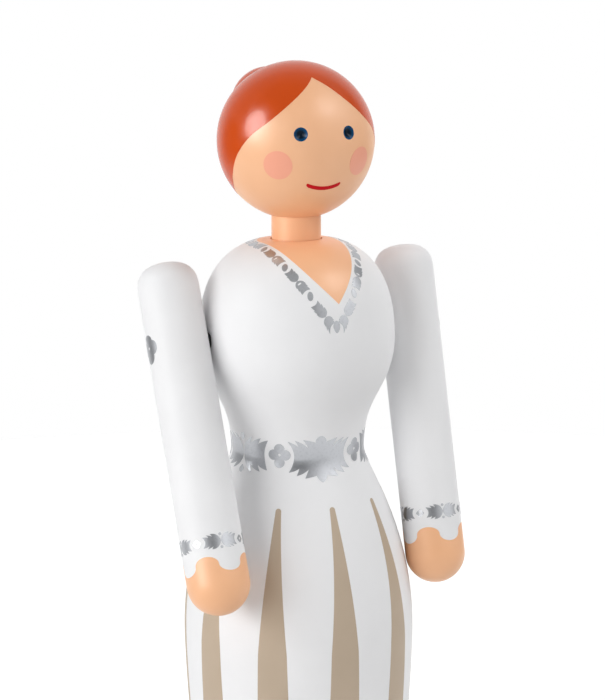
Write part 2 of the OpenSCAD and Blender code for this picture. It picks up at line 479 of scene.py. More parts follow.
@dataclass(frozen=True)
class Lacquer(Finish):
    """Sprayed satin lacquer on turned beech.

    The eye sees an even tone with faint clouds, a fine orange peel and a soft sheen. peel and sheen are how
    far apart their changes are, and specular is the strength of the gloss. The real peel is about 0.3 mm
    apart, which is drawn coarser so that it shows.
    """

    peel: float = 0.7
    sheen: float = 2.5
    specular: float = 0.5
    ior: float = 1.5

    def dress(self, tree: Tree, where: Socket) -> dict:
        """Clouds in the colour, small changes of sheen and the orange peel."""
        sheen, peel = (add(tree, "ShaderNodeTexNoise", {"Vector": where, "Detail": 2.0,
                           "Scale": per_metre(size)}).outputs[0] for size in (self.sheen, self.peel))
        return {"Base Color": self.tint(tree, where), "IOR": self.ior, "Specular IOR Level": self.specular,
                "Roughness": self.uneven(tree, sheen), "Normal": self.grain(tree, peel)}


@dataclass(frozen=True)
class PooledLacquer(Lacquer):
    """Gloss lacquer in the drilled eyes, with painted shade in their middles.

    The eye sees a dark middle, painted shade that stands in for the shadow deep in the drilled hole, which
    goes over into blue at the rim. colour is the tone at the rim and worn the painted shade in the
    middle. The tone changes between the distances dark and light from the lowest points of the eyes, which
    are middles.
    """

    middles: tuple = ()
    dark: float = 0.75
    light: float = 1.55

    def tint(self, tree: Tree, where: Socket) -> Socket:
        """Colour of the paint: painted shade near the nearer eye's lowest point, blue further out, by the
        distance.

        Args:
            tree: Tree that takes the nodes.
            where: Coordinates of the pattern.

        Returns:
            The colour.
        """
        spans = [add(tree, "ShaderNodeVectorMath", {0: where, 1: tuple(middle * MM)}, operation="DISTANCE")
                 for middle in self.middles]
        near = add(tree, "ShaderNodeMath", {i: span.outputs["Value"] for i, span in enumerate(spans)},
                   operation="MINIMUM")
        share = add(tree, "ShaderNodeMapRange", {"Value": near.outputs[0], 1: self.dark * MM,
                    2: self.light * MM})
        # Painted shade in the middle of the eye, its blue paint at the rim
        mixed = add(tree, "ShaderNodeMix", {"Factor": share.outputs[0], 6: linear(self.worn),
                    7: linear(self.colour)}, data_type="RGBA")
        return mixed.outputs[2]


@dataclass(frozen=True)
class PressedFoil(Finish):
    """Silver foil pressed hot onto the paint.

    The eye sees a soft mirror of the room, dulled by the grain of the paint below, with thin places. pore
    is how far apart the marks of the grain are.
    """

    patch: float = 0.45
    thin: tuple = (0.5, 0.72)
    spread: float = 0.03
    strength: float = 0.1
    pore: float = 0.3

    def dress(self, tree: Tree, where: Socket) -> dict:
        """Thin places in the colour, uneven gloss and the grain of the paint below."""
        pores = add(tree, "ShaderNodeTexNoise", {"Vector": where, "Detail": 2.0,
                    "Scale": per_metre(self.pore)}).outputs[0]
        return {"Base Color": self.tint(tree, where), "Metallic": 1.0,
                "Roughness": self.uneven(tree, pores), "Normal": self.grain(tree, pores)}


@dataclass(frozen=True)
class TurnedMetal(Finish):
    """Machined metal of the shoulder fittings, with the fine rings that a lathe leaves about X.

    ring is how far apart they are, waves the number of them in a unit of a wave pattern of scale 1, and
    wobble how far they stray.
    """

    patch: float = 1.0
    thin: tuple = (0.4, 0.8)
    depth: float = 0.01
    strength: float = 0.3
    ring: float = 0.12
    waves: float = 20.0
    wobble: float = 0.4

    def dress(self, tree: Tree, where: Socket) -> dict:
        """Tool rings across the axis, with a slightly uneven tone."""
        rings = add(tree, "ShaderNodeTexWave", {"Vector": where, "Scale": per_metre(self.ring) / self.waves,
                    "Distortion": self.wobble}, bands_direction="X")
        return {"Base Color": self.tint(tree, where), "Metallic": 1.0,
                "Normal": self.grain(tree, rings.outputs["Fac"])}


@dataclass(frozen=True)
class MouldedRubber(Finish):
    """Moulded black rubber, matt with a faint bloom. grit is how far apart the marks of its grain are."""

    patch: float = 0.8
    thin: tuple = (0.45, 0.8)
    depth: float = 0.01
    strength: float = 0.4
    grit: float = 0.2

    def dress(self, tree: Tree, where: Socket) -> dict:
        """A greyer bloom in patches and a fine matt grain."""
        matt = add(tree, "ShaderNodeTexNoise", {"Vector": where, "Scale": per_metre(self.grit)})
        return {"Base Color": self.tint(tree, where), "Normal": self.grain(tree, matt.outputs[0])}


@dataclass(frozen=True)
class BareBeech(Finish):
    """Plain turned beech dowel with its short dark flecks along the grain, as wide as patch."""

    patch: float = 0.3
    thin: tuple = (0.55, 0.7)
    squeeze: tuple = (1.0, 0.2, 0.6)

    def dress(self, tree: Tree, where: Socket) -> dict:
        """Flecks that are drawn out along the dowel by squeezing the coordinates."""
        along = add(tree, "ShaderNodeMapping", {"Vector": where, "Scale": self.squeeze})
        return {"Base Color": self.tint(tree, along.outputs[0])}


DRESS = Lacquer("white_satin_lacquer", "dress_paint", "#f1f1f2", "#eeeeef", 0.5, specular=0.12)
SKIN = Lacquer("peach_satin_lacquer", "skin_paint", "#f8bf94", "#f5ba8d", 0.38)
HAIR = Lacquer("auburn_satin_lacquer", "hair_paint", "#d04b02", "#ca4802", 0.22, depth=0.002, specular=0.26)
STRIPE = Lacquer("taupe_satin_lacquer", "stripe_paint", "#c0ae99", "#baa893", 0.45, specular=0.28)
CHEEK = Lacquer("rose_satin_lacquer", "cheek_paint", "#f8ab8f", "#f5a689", 0.36, specular=0.42)
LIP = Lacquer("red_satin_lacquer", "lip_paint", "#d00a1a", "#c40917", 0.35, patch=1.0, specular=0.1)
FOIL_LEAF = PressedFoil("pressed_silver_foil", "silver_foil", "#b6b8bc", "#acaeb2", 0.32)
STEEL = TurnedMetal("turned_steel", "steel", "#b9bbbe", "#a3a5a8", 0.32)
BRASS = TurnedMetal("turned_brass", "brass", "#c9a64e", "#b08d3c", 0.3)
RUBBER = MouldedRubber("moulded_rubber", "black_rubber", "#1b1b1c", "#2a2a2b", 0.65)
BEECH = BareBeech("bare_turned_beech", "bare_beech", "#dcb98c", "#c69c6a", 0.55)


# Turned surfaces


@dataclass(frozen=True)
class Outline:
    """Half outline of a turned piece, followed from its top.

    radius and height are given at even steps of run, the length along the outline. out and up are the
    parts of the outward normal there.
    """

    radius: Array
    height: Array
    run: Array
    out: Array
    up: Array

    @classmethod
    def along(cls, stretches: list, pace: float) -> Outline:
        """Walks along stretches of a profile in even steps, without cutting the corners between them.

        Args:
            stretches: Radius and height along each stretch, from the top down, of shape (n, 2).
            pace: How long a step is at most.

        Returns:
            The outline.
        """
        walked = [walk(stretch, pace)[int(number > 0):] for number, stretch in enumerate(stretches)]
        radius, height = np.concatenate(walked).T
        run = np.concatenate([[0.0], np.cumsum(np.hypot(np.diff(radius), np.diff(height)))])
        fall, grow = -np.gradient(height, run), np.gradient(radius, run)
        size = np.hypot(fall, grow)
        return cls(radius, height, run, fall / size, grow / size)

    def place(self, turn: Array, run: Array, lift: float) -> Array:
        """Points of the turned surface at a height above it.

        The point at a turn from the front towards +X is (r sin turn, -r cos turn, z), moved along the
        normal by lift.

        Args:
            turn: Angles about the axis.
            run: Lengths along the outline.
            lift: Height above the surface.

        Returns:
            Points with one more axis than the arrays.
        """
        r = self.radius_at(run) + lift * np.interp(run, self.run, self.out)
        z = self.height_at(run) + lift * np.interp(run, self.run, self.up)
        angle = np.radians(turn)
        return np.stack([r * np.sin(angle), -r * np.cos(angle), z], -1)

    @property
    def crest(self) -> float:
        """Length along the outline at its highest point."""
        return float(self.run[np.argmax(self.height)])

    def run_at(self, height: Array | float) -> Array:
        """Length along the outline at a height, below its highest point."""
        top = np.argmax(self.height)
        return np.interp(-np.asarray(height, float), -self.height[top:], self.run[top:])

    def radius_at(self, run: Array | float) -> Array:
        """Radius at a length along the outline."""
        return np.interp(run, self.run, self.radius)

    def height_at(self, run: Array | float) -> Array:
        """Height at a length along the outline."""
        return np.interp(run, self.run, self.height)


# Lace


@dataclass(frozen=True)
class Fan:
    """Spray of pointed leaves that opens from a joint, seen flat with the joint at the left.

    Each long side is a list of points by turns: its start, a leaf's tip, the notch behind that leaf, the
    next tip and so on. hollow is where the far end crosses the middle line, and hub is a point of that
    line from which the whole edge can be seen. start and full say how far the first leaf's back and the
    other backs are bowed out, as shares of their lengths. slot is half the size of a bare slot at the hub.
    steps is the number of points on an edge, and pace how far apart they are at the joint.
    """

    upper: tuple
    lower: tuple
    hollow: float
    hub: float
    start: float
    full: float = 0.12
    slot: tuple | None = None
    steps: int = 12
    pace: float = 0.5
    rings: int = 9

    def side(self, points: tuple, sign: float) -> Array:
        """One long side from the joint to the middle of the hollow end.

        The edge from a tip to the notch behind it is bowed in, half as much as the backs are bowed out.

        Args:
            points: The side's points with heights above the middle line.
            sign: 1 for the upper side, -1 for the lower.

        Returns:
            Points of shape (n, 2).
        """
        edges = []
        for number, (a, b) in enumerate(zip(points[:-1], points[1:])):
            share = self.full if number else self.start
            if number % 2:
                share = -self.full / 2
            bend = share * np.array([a[1] - b[1], b[0] - a[0]])
            edges.append((a, (np.array(a) + np.array(b)) / 2 + bend, b))
        tip = points[-1]
        edges.append((tip, (self.hollow, tip[1] / 2), (self.hollow, 0.0)))
        return np.concatenate([bezier(*edge, count=self.steps, whole=False) for edge in edges]) * (1.0, sign)

    def outline(self) -> Array:
        """Closed outline: the upper side outwards, the lower side back, and the joint's edge.

        Returns:
            Points of shape (n, 2).
        """
        upper, lower = self.side(self.upper, 1.0), self.side(self.lower, -1.0)
        joint = walk([lower[0], upper[0]], self.pace)[1:-1]
        return np.concatenate([upper, [(self.hollow, 0.0)], lower[::-1], joint])

    def foil(self, place: Place, mirrored: bool = False) -> Hull:
        """The fan as a foil plate.

        Args:
            place: Puts flat points at a height on the surface.
            mirrored: Whether it opens towards -u, and then without its slot, instead of +u.

        Returns:
            The plate.
        """
        flip = -1.0 if mirrored else 1.0
        slot = None if mirrored else self.slot
        return plate(self.outline() * (flip, 1.0), (flip * self.hub, 0.0), place, rings=self.rings, hole=slot)


@dataclass(frozen=True)
class Rosette:
    """Flower of four round petals with a bare dot in the middle.

    A petal is a disc of radius petal whose centre lies out from the middle, and the lower petal's centre
    lies further out by drop. The edge in any direction is the farthest point of the four.
    """

    petal: float
    out: float
    drop: float
    dot: float
    steps: int = 144

    def outline(self) -> Array:
        """Closed outline of the flower.

        Returns:
            Points of shape (steps, 2).
        """
        turn = np.radians(even_turns(self.steps))[:, None]
        out = self.out + np.array([0.0, 0.0, 0.0, self.drop])
        away = np.abs((turn - np.radians(even_turns(4)) + np.pi) % (2 * np.pi) - np.pi)
        across = out * np.sin(np.minimum(away, np.pi / 2))
        inside = np.maximum(self.petal**2 - across**2, 0.0)
        reach = np.where(across < self.petal, out * np.cos(away) + np.sqrt(inside), 0.0)
        return reach.max(1, keepdims=True) * circle(self.steps)

    def foil(self, place: Place) -> Hull:
        """The flower as a foil plate with its bare dot."""
        return plate(self.outline(), (0.0, 0.0), place, rings=6, hole=(self.dot, self.dot))


def pearl(width: float, height: float, place: Place, point: float = 0.0, at: tuple = (0.0, 0.0),
          rise: float = FOIL) -> Hull:
    """Oval of foil that may be drawn out to a point.

    Args:
        width, height: Half its width and height.
        place: Puts flat points at a height on the surface.
        point: How much narrower its lower half is drawn, or its upper half where this is negative.
        at: Its middle.
        rise: Height of its upper side.

    Returns:
        The plate.
    """
    x, y = circle(count=48).T
    narrow = 1.0 - abs(point) * np.clip(-y * np.sign(point), 0.0, 1.0)
    loop = np.stack([width * x * narrow, height * y], 1)
    return plate(loop + np.array(at), at, place, rise, rings=4)


def diamond(width: float, height: float, hole: float, place: Place, power: float = 1.2) -> Hull:
    """Small open lozenge of foil: the edge is |u / width|^power + |v / height|^power = 1.

    Args:
        width, height: Half its width and height.
        hole: Radius of its hole.
        place: Puts flat points at a height on the surface.
        power: 1 for straight edges, more for bulging ones.

    Returns:
        The plate.
    """
    edge = circle()
    edge = edge / (np.abs(edge / (width, height)) ** power).sum(1, keepdims=True) ** (1 / power)
    return plate(edge, (0.0, 0.0), place, rings=4, hole=(hole, hole))


# Figure


@dataclass(frozen=True)
class Gown:
    """The turned body: bodice, waist and long gown, with its paint.

    The fields ending in full say how much of each curve of the outline stays near its direction at its
    upper and lower end.
    """

    height: float = 131.25
    base: float = 20.0
    base_edge: float = 1.2
    hip: float = 22.5
    hip_z: float = 54.5
    waist: float = 12.9
    waist_z: float = 90.5
    chest: float = 18.9
    chest_z: float = 112.5
    neck: float = 4.75
    shoulder_full: tuple = (0.2, 0.94)
    bodice_full: tuple = (0.46, 0.5)
    hip_full: tuple = (0.1, 0.56)
    skirt_full: tuple = (0.22, 0.3)
    mouth: float = 5.05
    mouth_depth: float = 0.8
    socket: float = 4.8
    socket_floor: float = 118.2
    groove: float = 5.1
    groove_top: float = 125.05
    groove_foot: float = 123.45
    pivot_z: float = 112.8
    flat: float = 18.6475
    flat_radius: float = 1.8
    columns: int = 192
    pace: float = 0.8
    stripes: int = 10
    stripe_phase: float = -2.9
    stripe_tip_z: float = 82.0
    stripe_tip: float = 0.5
    stripe_wide_z: float = 55.0
    stripe_wide: float = 7.1
    stripe_hem: float = 10.8
    stripe_hem_z: float = 0.4
    stripe_close: float = 0.3
    stripe_rows: int = 70

    @cached_property
    def outline(self) -> Outline:
        """Outline from the foot of the socket's counterbore down to the base, by the same curves as the CAD.

        Returns:
            The outline.
        """
        chest, waist = (self.chest, self.chest_z), (self.waist, self.waist_z)
        hip, hem = (self.hip, self.hip_z), (self.base, self.base_edge)
        neck_in = self.neck + self.shoulder_full[0] * (self.chest - self.neck)
        chest_up = self.chest_z + self.shoulder_full[1] * (self.height - self.chest_z)
        shoulders = bezier((self.neck, self.height), (neck_in, self.height), (self.chest, chest_up), chest)
        mouth = (self.mouth, self.height)
        counterbore = [(self.mouth, self.height - self.mouth_depth), mouth]
        slope = np.concatenate([[mouth], shoulders[shoulders[:, 0] > self.mouth]])
        sides = [swell(chest, waist, self.bodice_full), swell(waist, hip, self.hip_full),
                 swell(hip, hem, self.skirt_full)]
        turn = np.radians(np.linspace(0.0, 90.0, num=20))
        edge = np.array(hem) - self.base_edge * np.stack([1 - np.cos(turn), np.sin(turn)], 1)
        return Outline.along([counterbore, slope, *sides, edge], self.pace)

    def build(self) -> None:
        """Makes the turned body and paints its stripes."""
        make_piece("gown_body", self.body(), DRESS, "body", ("body",))
        make_piece("gown_stripes", Hull.joined(self.stripe(i) for i in range(self.stripes)), STRIPE, "body")

    def body(self) -> Hull:
        """The outline turned about Z, closed through the neck socket and under the base.

        The two washer seats are flats: points within the seat's radius are brought back to its plane.

        Returns:
            The surface.
        """
        skin = np.stack([self.outline.radius, self.outline.height], 1)
        bore = [(0.0, self.socket_floor), (self.socket, self.socket_floor), (self.socket, self.groove_foot),
                (self.groove, self.groove_foot), (self.groove, self.groove_top),
                (self.socket, self.groove_top), (self.socket, self.height - self.mouth_depth)]
        foot = [(self.base / 2, 0.0), (0.0, 0.0)]
        line = np.concatenate([bore, skin, foot])
        turn = np.radians(even_turns(self.columns))
        grid = np.stack([line[:, :1] * np.sin(turn), -line[:, :1] * np.cos(turn),
                         np.broadcast_to(line[:, 1:], (len(line), self.columns))], -1)
        near = np.hypot(grid[..., 1], grid[..., 2] - self.pivot_z) < self.flat_radius
        grid[..., 0] = np.where(near, np.clip(grid[..., 0], -self.flat, self.flat), grid[..., 0])
        return Hull.capped(grid)

    def stripe(self, number: int) -> Hull:
        """One painted stripe, from its round tip below the waist down to the hem.

        Its half width in degrees grows evenly with the drop from the tip as far as the hips, and more
        slowly below them. The tip is a half round of the same width, and the foot closes under the hem.

        Args:
            number: Which stripe, counted from the front.

        Returns:
            The stripe.
        """
        line, tip = self.outline, self.stripe_tip
        top, hem = line.run_at(self.stripe_tip_z), line.run_at(self.stripe_hem_z)
        run = np.concatenate([top + tip * (1 - np.cos(np.linspace(0, np.pi / 2, num=8))),
                              np.linspace(top + tip, hem, self.stripe_rows)[1:], [hem + self.stripe_close]])
        half = np.interp(-line.height_at(run), [-self.stripe_tip_z, -self.stripe_wide_z, 0.0],
                         [np.degrees(tip / line.radius_at(top)), self.stripe_wide, self.stripe_hem])
        into = np.clip((run - top) / tip, 0.0, 1.0)
        half = half * np.sqrt(1 - (1 - into) ** 2)
        half[-1] = 0.0
        middle = np.full_like(run, self.stripe_phase + number * 360.0 / self.stripes)
        return strip(middle, half, run, line.place, PAINT)

    def spot(self, turn: float, run: float, slant: float = 0.0) -> Place:
        """Flat coordinates about a place on the gown: u towards +X and v upwards, turned by slant.

        Args:
            turn: Angle of the place from the front.
            run: Length of the place along the outline.
            slant: Angle of u above the level.

        Returns:
            The function that puts flat points on the gown.
        """
        cos, sin = math.cos(math.radians(slant)), math.sin(math.radians(slant))

        def place(u: Array, v: Array, lift: float) -> Array:
            """Points of the gown at flat places, at a height above it.

            Args:
                u, v: Flat coordinates.
                lift: Height above the surface.

            Returns:
                Points with one more axis than the arrays.
            """
            along = run - (u * sin + v * cos)
            east = (u * cos - v * sin) / self.outline.radius_at(along)
            return self.outline.place(turn + np.degrees(east), along, lift)

        return place


@dataclass(frozen=True)
class Vee:
    """V-shaped line round the neck.

    Seen from the front its half width grows as collar sin(90 (z - tip_z) / reach) to a power. Where it
    comes to a share of the radius there, which is side, the line goes on round the back as a half circle.
    """

    tip_z: float
    collar: float
    reach: float
    power: float = 1.0
    side: float = 0.999
    front_steps: int = 900
    rear_steps: int = 300

    def path(self, line: Outline) -> tuple[Array, Array]:
        """The line on the figure's left, from its tip in front to the middle of the back.

        Args:
            line: Outline of the turned surface that carries it.

        Returns:
            Angles from the front and lengths along the outline.
        """
        run = np.linspace(float(line.run_at(self.tip_z)), line.crest, self.front_steps)
        rise = np.sin(np.radians(90.0 * np.maximum(line.height_at(run) - self.tip_z, 0.0) / self.reach))
        share = self.collar * rise**self.power / line.radius_at(run)
        front = slice(np.argmax(share > self.side))
        turn = np.degrees(np.arcsin(share[front]))
        rear = np.linspace(turn[-1], 180.0, self.rear_steps)[1:]
        return np.concatenate([turn, rear]), np.concatenate([run[front], np.full_like(rear, run[front][-1])])


@dataclass(frozen=True)
class Neckline:
    """The bare V below the neck and the lace that follows it.

    tip_size and pearl_size are half the width and height of the drop at the lace's tip and of its pearls.
    """

    gown: Gown
    right_edge: Vee = Vee(120.95, 8.5, 14.3)
    left_edge: Vee = Vee(120.95, 7.95, 14.6)
    lace_line: Vee = Vee(116.87, 10.65, 22.1, 0.944)
    lace_turn: float = -2.65
    period: float = 7.3
    columns: int = 240
    rows: int = 26
    fan: Fan = Fan(((0.02, 0.0), (1.4, 0.95), (1.2, 0.75), (2.05, 0.95), (1.85, 0.72), (2.8, 0.88)),
                   ((0.02, 0.0), (1.25, 0.98), (1.05, 0.76), (1.95, 1.0), (1.75, 0.75), (2.7, 0.92)),
                   2.5, 0.7, 0.42, slot=(0.17, 0.42))
    tip_fan: Fan = Fan(((0.02, 0.0), (1.1, 0.86), (0.95, 0.7), (1.5, 0.82), (1.36, 0.62), (1.95, 0.68)),
                       ((0.02, 0.0), (1.35, 1.2), (1.15, 0.95), (2.15, 1.4), (1.9, 1.05), (2.97, 1.44)),
                       1.9, 0.7, 0.42)
    long_fan: Fan = Fan(((0.02, 0.0), (1.6, 0.98), (1.4, 0.75), (2.45, 0.98), (2.2, 0.72), (3.3, 0.86)),
                        ((0.02, 0.0), (1.5, 1.0), (1.25, 0.76), (2.3, 1.02), (2.05, 0.75), (3.2, 0.9)),
                        2.95, 0.8, 0.42)
    tip_joint: float = 0.85
    tip_drop: float = 0.5
    tip_size: tuple = (0.68, 1.15)
    tip_point: float = 0.3
    pearl_size: tuple = (0.55, 0.88)

    def build(self) -> None:
        """Paints the V and lays the lace."""
        make_piece("neckline_skin", self.skin(), SKIN, "body")
        make_piece("neckline_lace", self.lace(), FOIL_LEAF, "body")

    def skin(self) -> Hull:
        """Ring of skin paint from inside the counterbore out to the neckline.

        The two edges of the V go over into their mean between the sides and the middle of the back.

        Returns:
            The painted ring.
        """
        line = self.gown.outline
        half = np.linspace(0.0, 180.0, self.columns + 1)
        edges = [np.interp(half, *edge.path(line)) for edge in (self.left_edge, self.right_edge)]
        back = np.clip((half - 90.0) / 90.0, 0.0, 1.0)
        left, right = (edge + back * (sum(edges) / 2 - edge) for edge in edges)
        turn = np.concatenate([half, -half[-2:0:-1]])
        end = np.concatenate([left, right[-2:0:-1]])
        wall = np.broadcast_to(np.array([[0.0], [line.crest / 2]]), (2, len(end)))
        share = np.linspace(0.0, 1.0, self.rows)[:, None]
        down = np.concatenate([wall, line.crest + share * (end - line.crest)])
        return Hull.looped(layer(line.place, np.broadcast_to(turn, down.shape), down, PAINT))

    def lace(self) -> Hull:
        """Foil pearls with pairs of fans between them, on both sides of a drop at the tip.

        The period is stretched a little to fit a whole number of half periods on each side. What falls on
        the middle of the back is laid once.

        Returns:
            The lace.
        """
        line = self.gown.outline
        turn, run = self.lace_line.path(line)
        east = np.diff(np.radians(turn)) * line.radius_at(run)[1:]
        length = np.concatenate([[0.0], np.cumsum(np.hypot(east, np.diff(run)))])
        slant = np.degrees(np.arctan2(-np.gradient(run), np.gradient(np.radians(turn)) * line.radius_at(run)))
        halves = round(2 * length[-1] / self.period)
        hulls = [pearl(*self.tip_size, self.gown.spot(self.lace_turn, run[0]), self.tip_point)]
        for side in Side:
            last = halves if side is Side.RIGHT else halves - 1
            for number in range(1, last + 1):
                tip = number == 1
                share = self.tip_joint if tip else number
                at = [float(np.interp(length[-1] * share / halves, length, a)) for a in (turn, run, slant)]
                slope = side.value * at[2] if number % 2 else 0.0
                drop = self.tip_drop if tip else 0.0
                place = self.gown.spot(self.lace_turn + side.value * at[0], at[1] + drop, slope)
                if number % 2 == 0:
                    hulls.append(pearl(*self.pearl_size, place))
                    continue
                inner, outer = (self.tip_fan, self.long_fan) if tip else (self.fan, self.fan)
                ahead, behind = (inner, outer) if side is Side.RIGHT else (outer, inner)
                hulls += [ahead.foil(place), behind.foil(place, True)]
        return Hull.joined(hulls)


@dataclass(frozen=True)
class WaistLace:
    """Band of foil round the waist: leaf clusters and rosettes in turn.

    Each bud over and under a cluster's joint has half its width, half its height, its point and its height
    above the joint. Those in front stand proud of the merged leaves by overlap.
    """

    gown: Gown
    z: float = 91.2
    rosette_z: float = 91.55
    phase: float = -6.3
    rosette_phase: float = -41.5
    repeats: int = 5
    merged: Fan = Fan(((0.0, 2.35), (3.48, 3.4), (2.45, 1.75), (5.05, 3.25), (4.25, 1.9), (6.4, 3.05)),
                      ((0.0, 3.3), (3.35, 4.1), (2.45, 2.4), (4.95, 3.6), (4.2, 2.15), (6.35, 2.95)),
                      5.1, 1.15, 0.06)
    split: Fan = Fan(((0.06, 0.0), (2.8, 3.45), (2.0, 2.0), (4.75, 3.35), (3.9, 2.05), (6.25, 3.05)),
                     ((0.06, 0.0), (2.8, 3.5), (2.0, 2.1), (4.75, 3.2), (3.9, 1.95), (6.25, 2.8)),
                     5.2, 0.8, 0.31)
    buds: tuple = ((0.62, 0.75, 0.5, 3.2), (0.62, 0.75, -0.5, -3.2))
    front_buds: tuple = ((1.05, 1.05, 0.0, 2.95), (1.12, 1.45, 0.35, -3.55))
    overlap: float = 0.012
    rosette: Rosette = Rosette(1.02, 1.16, 0.3, 0.27)

    def build(self) -> None:
        """Lays the band. The cluster in front has run together, and the others show their joint."""
        line = self.gown.outline
        run, flower_run = float(line.run_at(self.z)), float(line.run_at(self.rosette_z))
        hulls = []
        for number in range(self.repeats):
            turn = number * 360.0 / self.repeats
            place = self.gown.spot(self.phase + turn, run)
            fan, buds, rise = self.split, self.buds, FOIL
            if number == 0:
                fan, buds, rise = self.merged, self.front_buds, FOIL + self.overlap
            hulls += [fan.foil(place), fan.foil(place, True)]
            hulls += [pearl(wide, high, place, point, (0.0, at), rise) for wide, high, point, at in buds]
            hulls.append(self.rosette.foil(self.gown.spot(self.rosette_phase + turn, flower_run)))
        make_piece("waist_lace", Hull.joined(hulls), FOIL_LEAF, "body")


@dataclass(frozen=True)
class Head:
    """Painted marks on the ball head. The ball, the bun and the neck stay as the CAD has them.

    The paint in the eyes has a point rounded by eye_soft, stands proud of the rim by eye_proud and reaches
    below the drilled cone by eye_root.
    """

    radius: float = 15.0
    z: float = 149.978
    turn: float = -3.5
    eye_lon: float = 18.9
    eye_lat: float = 8.7
    eye: float = 1.275
    eye_point: float = 118.0
    eye_soft: float = 0.05
    eye_proud: float = 0.02
    eye_root: float = 0.08
    cheek: float = 2.75
    cheeks: tuple = ((-35.8, -13.4), (31.6, -12.5))
    mouth_lon: float = 0.9
    mouth_half: float = 15.1
    mouth_lat: float = -32.0
    mouth_rise: float = 3.35
    mouth_steps: int = 60
    lip: float = 0.42
    crown_lat: float = 40.0
    parting: float = -2.0
    hairline: tuple = ((0, 55), (11, 45.8), (25.3, 32.5), (41, 18.8), (56.5, 7), (69, -6.4), (81, -22.4),
                       (96, -36.5), (130, -49), (180, -55))
    hair_columns: int = 200
    hair_rows: int = 40

    @property
    def eye_rim(self) -> float:
        """Distance of an eye's rim from the middle of the ball, along the drill's axis."""
        return math.sqrt(self.radius**2 - self.eye**2)

    @property
    def eye_depth(self) -> float:
        """Depth of a drilled eye below its rim."""
        return self.eye / math.tan(math.radians(self.eye_point / 2))

    def direction(self, lon: Array, lat: Array) -> Array:
        """Unit vectors of places on the ball, the turn of the head included."""
        a, b = np.radians(np.asarray(lon, float) + self.turn), np.radians(np.asarray(lat, float))
        return np.stack([np.sin(a) * np.cos(b), -np.cos(a) * np.cos(b), np.sin(b)], -1)

    def ball(self, unit: Array, lift: float) -> Array:
        """Points at a height above the ball in the directions of unit."""
        return unit * (self.radius + lift) + np.array([0.0, 0.0, self.z])

    def place(self, lon: Array, lat: Array, lift: float) -> Array:
        """Points at a height above the ball at angles from the front and above the middle."""
        return self.ball(self.direction(lon, lat), lift)

    def frame(self, lon: float, lat: float) -> tuple[Array, Array, Array]:
        """Directions outwards, towards greater lon and upwards at a place on the ball."""
        out, east = self.direction(lon, lat), self.direction(lon + 90.0, 0.0)
        return out, east, np.cross(out, east)

    def spot(self, lon: float, lat: float) -> Place:
        """Flat coordinates about a place on the ball: u along the level and v upwards.

        A flat point at a distance from the place lies as far along the great circle in its direction.

        Args:
            lon, lat: Angles of the place from the front and above the middle.

        Returns:
            The function that puts flat points on the ball.
        """
        out, east, north = self.frame(lon, lat)

        def place(u: Array, v: Array, lift: float) -> Array:
            """Points of the ball at flat places, at a height above it.

            Args:
                u, v: Flat coordinates.
                lift: Height above the surface.

            Returns:
                Points with one more axis than the arrays.
            """
            away = np.maximum(np.hypot(u, v), TINY)[..., None]
            aim = (u[..., None] * east + v[..., None] * north) / away
            bend = away / self.radius
            return self.ball(out * np.cos(bend) + aim * np.sin(bend), lift)

        return place

    def build(self) -> None:
        """Paints the hair, the cheeks, the mouth and the eyes."""
        disc = self.cheek * circle()
        cheeks = Hull.joined(plate(disc, (0.0, 0.0), self.spot(*at), PAINT) for at in self.cheeks)
        make_piece("painted_hair", self.hair(), HAIR, "head")
        make_piece("painted_cheeks", cheeks, CHEEK, "head")
        make_piece("painted_mouth", self.mouth(), LIP, "head")
        # Eye paint: blue at the rim and dark navy in the middle, where the dark is painted shade of the
        # drilled hole
        paint = PooledLacquer("navy_gloss_lacquer", "eye_paint", "#06507f", "#021829", 0.22, depth=0.003,
                              specular=0.1, middles=tuple(self.eye_bottom(side) for side in Side))
        make_piece("painted_eyes", Hull.joined(self.eye_cone(side) for side in Side), paint, "head")

    def hair(self) -> Hull:
        """Cap of hair paint: great circles from a crown at the back out to the hairline.

        The hairline is a smooth curve from the parting down either side to the nape.

        Returns:
            The painted cap.
        """
        left = np.array(self.hairline, float)
        right = left * np.array([-1.0, 1.0])
        left[0, 0] = right[0, 0] = self.parting
        rim = np.concatenate([through(left, self.hair_columns), through(right, self.hair_columns)[-2:0:-1]])
        edge = self.direction(rim[:, 0], rim[:, 1])
        crown = self.direction(180.0, self.crown_lat)
        angle = np.arccos(np.clip(edge @ crown, -1.0, 1.0))[None, :, None]
        share = np.linspace(0.0, 1.0, self.hair_rows)[:, None, None]
        unit = (np.sin((1 - share) * angle) * crown + np.sin(share * angle) * edge) / np.sin(angle)
        return Hull.capped(np.concatenate([self.ball(unit, PAINT), self.ball(unit, -ROOT)[::-1]]))

    def mouth(self) -> Hull:
        """Smile with round ends: lat = mouth_lat + mouth_rise (share of the half width) squared.

        Returns:
            The painted smile.
        """
        share = -np.cos(np.linspace(0.0, np.pi, self.mouth_steps))
        blunt = self.lip / (self.radius * math.radians(self.mouth_half))
        into = np.clip((1.0 - np.abs(share)) / blunt, 0.0, 1.0)
        half = np.degrees(self.lip / self.radius) * np.sqrt(1.0 - (1.0 - into) ** 2)
        middle = self.mouth_lat + self.mouth_rise * share**2
        lon = self.mouth_lon + self.mouth_half * share
        return strip(middle, half, lon, lambda lat, along, lift: self.place(along, lat, lift),
                     PAINT, across=8)

    def eye_bottom(self, side: Side) -> Array:
        """Lowest point of a drilled eye, at the point of the drill."""
        out = self.direction(side.value * self.eye_lon, self.eye_lat)
        return self.ball(out, self.eye_rim - self.eye_depth - self.radius)

